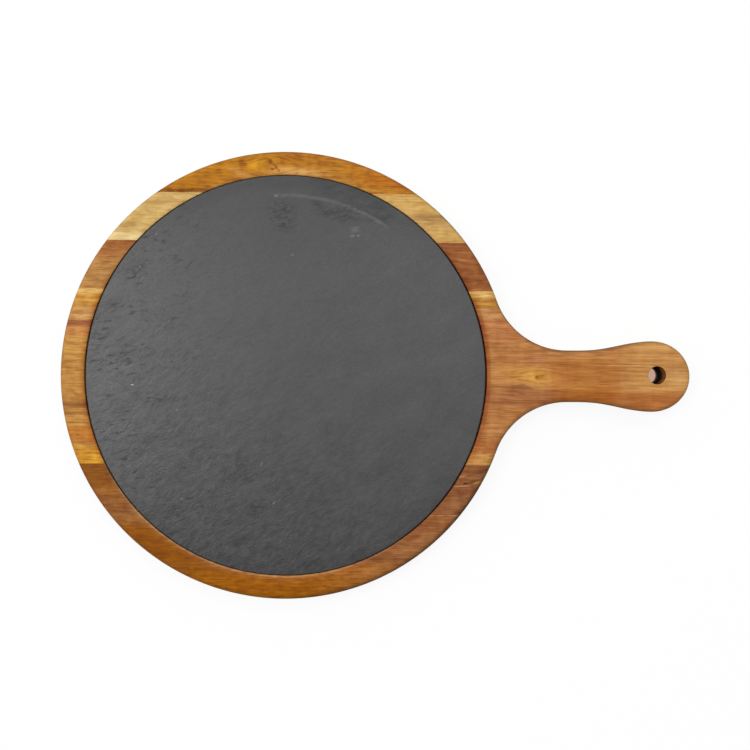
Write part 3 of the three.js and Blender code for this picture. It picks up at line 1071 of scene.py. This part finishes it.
def slate_disc(looks):
    """The slate: a turned disc whose face is riven and whose edge is cut by hand."""
    low = SLATE_LOW.z
    high = SLATE_HIGH.z
    arris = looks.arris
    radius = SLATE_RADIUS - looks.trim
    start = (0, 0, low)
    inner = radius - arris
    disc = start_point("riven_slate_disc", start)
    draw_to(start, (inner, 0, low), (radius, 0, low + arris))
    draw_to((radius, 0, low + arris), (radius, 0, high - arris), (inner, 0, high), (0, 0, high))
    select(disc, edges=lambda edge: min(vertex.co.z for vertex in edge.verts) > high - SAME_PLACE)
    bpy.ops.mesh.subdivide(number_cuts=SLATE_RINGS)
    turn_solid(disc, SLATE_STEPS)

    def roughness(place):
        """Share of the relief: full at the far side of the face, calmer towards the handle."""
        if place.z < high - SAME_PLACE:
            return 0
        return CALM_SHARE + (1 - CALM_SHARE) * max(0, -place.x / radius)

    face = group_where(disc, "face", roughness)
    edge = group_where(disc, "edge", lambda place: place.xy.length > inner - SAME_PLACE)
    transform_all(rotation=looks.flake_angle)
    transform_all(scale=(1 / STRETCH, 1, 1))
    for texture, height in (
        (cloud("cleft", CLEFT_WAVE, 3), looks.cleft),
        (flaked(cloud("flakes", FLAKE_WAVE, 1)), looks.ripple * 2),
    ):
        apply_modifier(
            disc,
            "DISPLACE",
            texture=texture,
            strength=height,
            direction="Z",
            texture_coords="LOCAL",
            vertex_group=face,
        )
    transform_all(scale=(STRETCH, 1, 1))
    transform_all(rotation=-looks.flake_angle)
    apply_modifier(
        disc,
        "DISPLACE",
        texture=cloud("chipped edge", CHIP_WAVE, 2),
        strength=CHIP_REACH,
        texture_coords="LOCAL",
        vertex_group=edge,
    )
    transform_all(shift=(looks.shift, looks.drift, 0))
    disc.vertex_groups.clear()
    return disc


# Operators


def build_staves(nodes):
    """Parts these staves from the panel and dresses each of them."""
    board = settings()
    panel = finished_panel(board.shape)
    lines = glue_lines(board.shape)
    for node in nodes:
        stave = part_stave(panel, "acacia_" + node, board.shape, *lines[node])
        left = getattr(board.wood, node + "_left")
        right = getattr(board.wood, node + "_right")
        material = acacia("oiled_" + node, left, right, board.shape, STAVES[node])
        dress(stave, node, "board", material)
    bpy.data.objects.remove(panel)


class BOARD_OT_handle_plank(bpy.types.Operator):
    """Build the middle plank, with its handle and its hanging hole"""

    bl_idname = "board.handle_plank"
    bl_label = "Handle Plank"

    def execute(self, context):
        build_staves(["handle_plank"])
        return {"FINISHED"}


class BOARD_OT_side_staves(bpy.types.Operator):
    """Build the narrow staves that are glued to the two edges of the plank"""

    bl_idname = "board.side_staves"
    bl_label = "Side Staves"

    def execute(self, context):
        build_staves([node for node in STAVES if node != "handle_plank"])
        return {"FINISHED"}


class BOARD_OT_slate(bpy.types.Operator):
    """Build the slate that lies in the recess"""

    bl_idname = "board.slate"
    bl_label = "Slate Insert"

    def execute(self, context):
        looks = settings().slate
        disc = slate_disc(looks)
        dress(disc, "slate_insert", "slate", riven_slate("riven_slate", looks))
        return {"FINISHED"}


# The floor lies just below the board, and the lamps hang over it, all in metres
FLOOR_SIZE = 8
FLOOR_DROP = 0.2 * MM
LAMP_WIDTH = 1.2
KEY_PLACE = (-1.5, 0.3, 2.8)
TOP_PLACE = (0.5, 1.5, 2.6)

WHITE = (1, 1, 1)

# How much of what the camera sees of the floor is its white, and how much is left to the shadow on it
WHITE_SHARE = 0.9

# Floor in the hanging hole: its shaded colour, how far the hole's own floor reaches, how far the light on it
# reaches and is shifted, and how far light from below stays away, all in millimetres
HOLE_SHADE = "140c06"
HOLE_REACH = (10, 12)
LIT_REACH = (5.2, 6.1)
LIT_SHIFT = 0.9
CLOSED_REACH = (6, 8)

# Rays shorter than this pass the floor, in millimetres
SHORT_RAY = (1, 3)


def soft_lamp(name, place, power):
    """A square soft lamp that points at the board."""
    bpy.ops.object.light_add(type="AREA", location=place)
    lamp = bpy.context.object
    lamp.name = name
    lamp.data.size = LAMP_WIDTH
    lamp.data.energy = power
    middle = Vector((settings().stage.camera_x, 0, 0))
    lamp.rotation_euler = (middle - lamp.location).to_track_quat("-Z", "Y").to_euler()


def seen_directly(finish, in_gloss=1):
    """Is 1 for what the camera sees, has a share in gloss and glass, and is 0 for other light."""
    share = finish.ray("Is Camera Ray")
    for kind in ("Is Glossy Ray", "Is Transmission Ray"):
        share = share + finish.ray(kind) * in_gloss
    return finish.math("MINIMUM", share, 1)


def white_floor(name, stage):
    """A floor that the camera sees white with a faint shadow, and that is clear from below."""
    finish = Finish(bpy.data.materials.new(name))
    seen = seen_directly(finish)
    x, y = finish.place()[:2]
    ahead, aside = from_hole(x, y, settings().shape)
    off_hole = distance(ahead, aside)
    # Under the hanging hole the floor is painted: shade where the board hides it, and a pool of painted
    # light, tinted by the wood, where light comes down the hole
    under_hole = 1 - finish.rise(off_hole, *HOLE_REACH)
    lit = 1 - finish.rise(distance(ahead + LIT_SHIFT, aside), *LIT_REACH)
    lit = lit * finish.ray("Is Camera Ray")
    hole_colour = finish.blend(HOLE_SHADE, stage.hole_floor, lit)
    glow = finish.blend(WHITE, hole_colour, under_hole)
    colour = finish.blend(stage.bounce_colour, stage.floor_colour, seen)
    behind = finish.node("ShaderNodeNewGeometry", output="Backfacing")
    # Light from below passes the floor where the board lies on it.
    near = 1 - finish.rise(finish.ray("Ray Length") / MM, *SHORT_RAY)
    passing = near * (1 - finish.ray("Is Camera Ray"))
    open_floor = finish.math("MAXIMUM", behind, passing * finish.rise(off_hole, *CLOSED_REACH))
    plain = finish.node("ShaderNodeBsdfDiffuse", {}, {"Color": colour})
    white = finish.node("ShaderNodeEmission", {}, {"Color": glow, "Strength": 1})
    clear = finish.node("ShaderNodeBsdfTransparent")
    above = finish.node("ShaderNodeMixShader", {}, {0: seen * WHITE_SHARE, 1: plain, 2: white})
    return finish.close(finish.node("ShaderNodeMixShader", {}, {0: open_floor, 1: above, 2: clear}))


def studio_sky(name, stage):
    """A soft sky, brighter behind the board and at its far side, and white where the camera sees it."""
    finish = Finish(bpy.data.worlds.new(name))
    direction = finish.node("ShaderNodeTexCoord", output="Generated")
    right, back, up = finish.parts(direction)
    bright = finish.rise(back - right * 0.35, -0.32, 0.32)
    overhead = stage.dim_sky + bright * (stage.bright_sky - stage.dim_sky)
    high = finish.rise(up, 0.05, 0.7)
    low_level = stage.horizon + bright * (stage.bright_sky - stage.horizon)
    level = low_level + (overhead - low_level) * high
    level = level + finish.rise(-up, 0.05, 0.5) * (stage.under_sky - low_level)
    colour = finish.blend(finish.grey(level), WHITE, seen_directly(finish, 1 - high))
    shader = finish.node("ShaderNodeBackground", {}, {"Color": colour, "Strength": 1})
    return finish.close(shader, "ShaderNodeOutputWorld")


class BOARD_OT_stage(bpy.types.Operator):
    """Build the floor, the lamps and the camera"""

    bl_idname = "board.stage"
    bl_label = "Stage"

    def execute(self, context):
        stage = settings().stage
        scene = context.scene
        scene.view_settings.view_transform = "Standard"
        bpy.ops.object.select_all(action="DESELECT")
        bpy.ops.mesh.primitive_plane_add(size=FLOOR_SIZE, location=(0, 0, -FLOOR_DROP))
        floor = context.object
        floor.name = "floor"
        floor.data.materials.append(white_floor("white_floor", stage))
        soft_lamp("key_lamp", KEY_PLACE, stage.key_power)
        soft_lamp("top_lamp", TOP_PLACE, stage.top_power)
        scene.world = studio_sky("studio_sky", stage)
        bpy.ops.object.camera_add(location=(stage.camera_x, stage.camera_y, TOP_Z + stage.camera_height))
        camera = context.object
        camera.rotation_euler = (0, 0, stage.camera_roll)
        camera.data.lens = stage.lens
        scene.camera = camera
        return {"FINISHED"}


class BOARD_PT_sidebar(bpy.types.Panel):
    """Sidebar panel with the steps of the build"""

    bl_label = "Serving Board"
    bl_idname = "BOARD_PT_sidebar"
    bl_space_type = "VIEW_3D"
    bl_region_type = "UI"
    bl_category = "Board"

    def draw(self, context):
        for operator in OPERATORS:
            self.layout.operator(operator.bl_idname)


OPERATORS = (BOARD_OT_handle_plank, BOARD_OT_side_staves, BOARD_OT_slate, BOARD_OT_stage)
GROUPS = (BoardShape, WoodTones, SlateLooks, StageSettings, BoardSettings)
CLASSES = (*GROUPS, *OPERATORS, BOARD_PT_sidebar)


def register():
    """Registers the classes and hangs the settings on the scene."""
    for entry in CLASSES:
        bpy.utils.register_class(entry)
    bpy.types.Scene.serving_board = PointerProperty(type=BoardSettings)


def unregister():
    """Takes the settings and the classes away again."""
    del bpy.types.Scene.serving_board
    for entry in reversed(CLASSES):
        bpy.utils.unregister_class(entry)


def main():
    """Builds the board and its stage."""
    register()
    bpy.ops.board.handle_plank()
    bpy.ops.board.side_staves()
    bpy.ops.board.slate()
    bpy.ops.board.stage()


if __name__ == "__main__":
    main()
